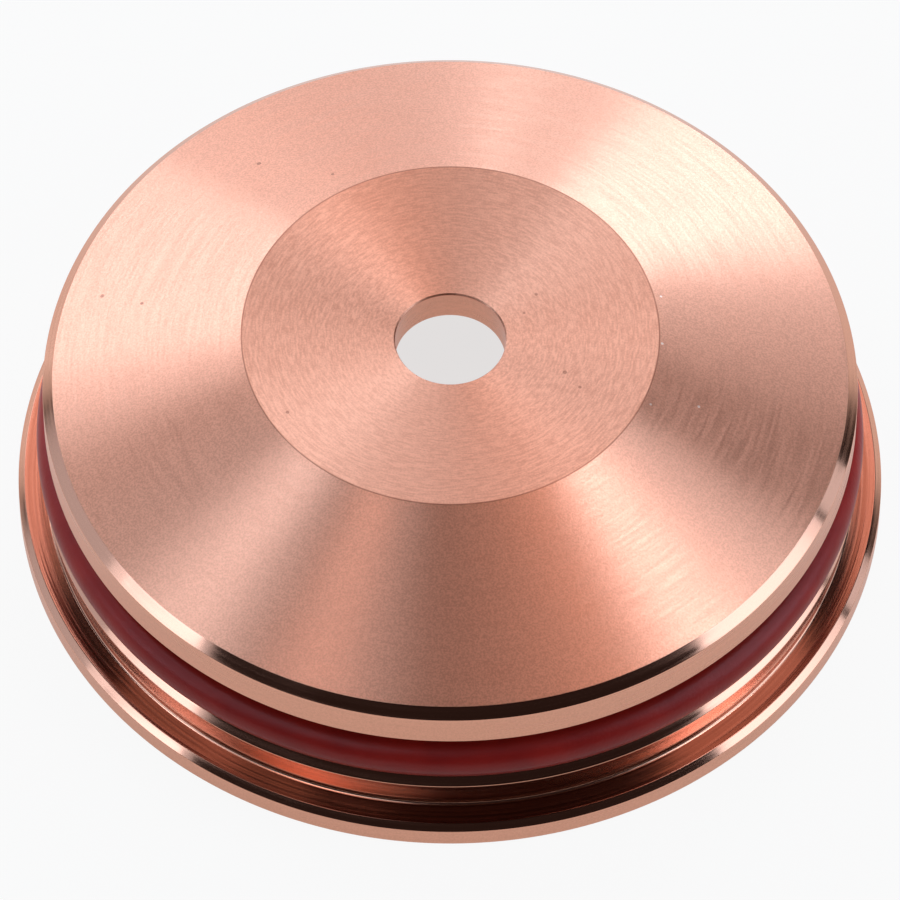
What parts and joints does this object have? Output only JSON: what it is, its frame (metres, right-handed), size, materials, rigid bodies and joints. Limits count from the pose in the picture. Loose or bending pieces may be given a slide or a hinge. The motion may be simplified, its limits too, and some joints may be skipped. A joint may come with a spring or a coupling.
{
  "type": "plasma torch shield cap",
  "caption": "Turned copper shield cap for a plasma torch: a shallow cone with a flat dished face, a central orifice, a clamping flange and a red seal ring in a groove round the rim.",
  "frame": {"origin": "centre of the flange's underside, where the cap stands", "axes": "+Z along the orifice, towards the flat front face"},
  "size_m": [0.0374, 0.0374, 0.011],
  "materials": {
    "turned_copper": "fine turned copper",
    "red_rubber": "satin red silicone rubber"
  },
  "bodies": {
    "root": {"shield_cap": "turned_copper", "seal_ring": "red_rubber"}
  },
  "joints": []
}
